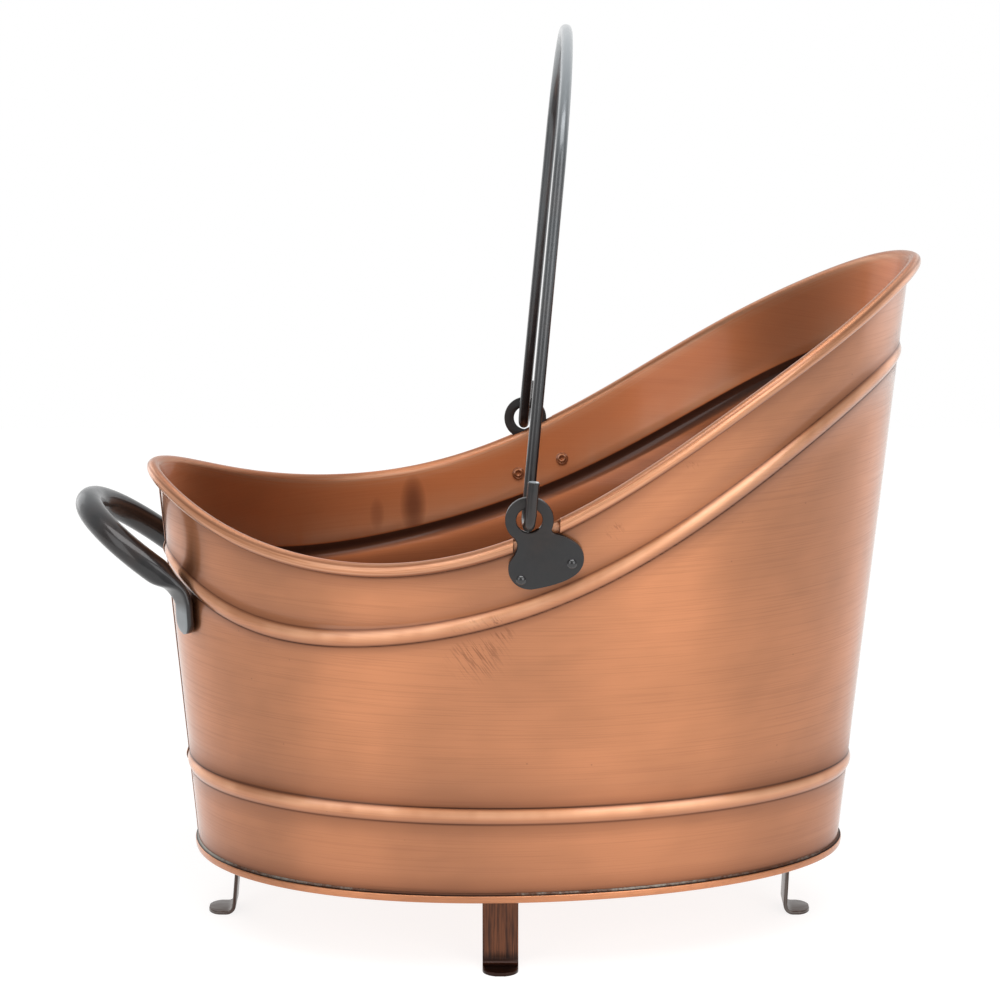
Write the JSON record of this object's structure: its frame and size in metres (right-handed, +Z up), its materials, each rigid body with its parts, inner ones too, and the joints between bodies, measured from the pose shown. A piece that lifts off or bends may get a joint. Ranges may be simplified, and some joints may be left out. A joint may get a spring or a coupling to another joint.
{
  "type": "kindling bucket",
  "caption": "Oval flared hearth bucket with a swept-up front lip, rolled rim, ribbed walls, strip feet, a swinging bail and a fixed loop handle at the back.",
  "frame": {"origin": "middle of the whole part's footprint box, on the ground under the feet", "axes": "+X towards the swept-up front lip, +Y to the left side, +Z up"},
  "size_m": [0.4524, 0.2726, 0.489],
  "materials": {
    "copper_sheet": "antique copper plate, brushed along the wall, lacquered",
    "copper_strip": "dark antique copper plate, brushed",
    "black_iron": "blackened, smooth satin",
    "rim_wire": "bare drawn wire",
    "solder": "dull, run along the seam",
    "rivets": "dark plated"
  },
  "bodies": {
    "bucket": {"body_wall": "copper_sheet", "floor_pan": "copper_sheet", "foot_front": "copper_strip", "foot_left": "copper_strip", "foot_rear": "copper_strip", "foot_right": "copper_strip", "ear_left": "black_iron", "ear_right": "black_iron", "rear_handle": "black_iron", "rim_wire_front": "rim_wire", "rim_wire_rear": "rim_wire", "floor_solder": "solder", "ear_left_rivet_front": "rivets", "ear_left_rivet_rear": "rivets", "ear_right_rivet_front": "rivets", "ear_right_rivet_rear": "rivets", "rear_handle_rivet_left": "rivets", "rear_handle_rivet_right": "rivets", "foot_front_rivet_1": "rivets", "foot_front_rivet_2": "rivets", "foot_left_rivet_1": "rivets", "foot_left_rivet_2": "rivets", "foot_rear_rivet_1": "rivets", "foot_rear_rivet_2": "rivets", "foot_right_rivet_1": "rivets", "foot_right_rivet_2": "rivets"},
    "bail": {"bail_handle": "black_iron"}
  },
  "joints": [
    {"name": "bail_swing", "type": "hinge", "parent": "bucket", "child": "bail", "pos_m": [0.01692, 0, 0.25093], "axis": [0, 1, 0], "range_deg": [-95, 53]}
  ]
}
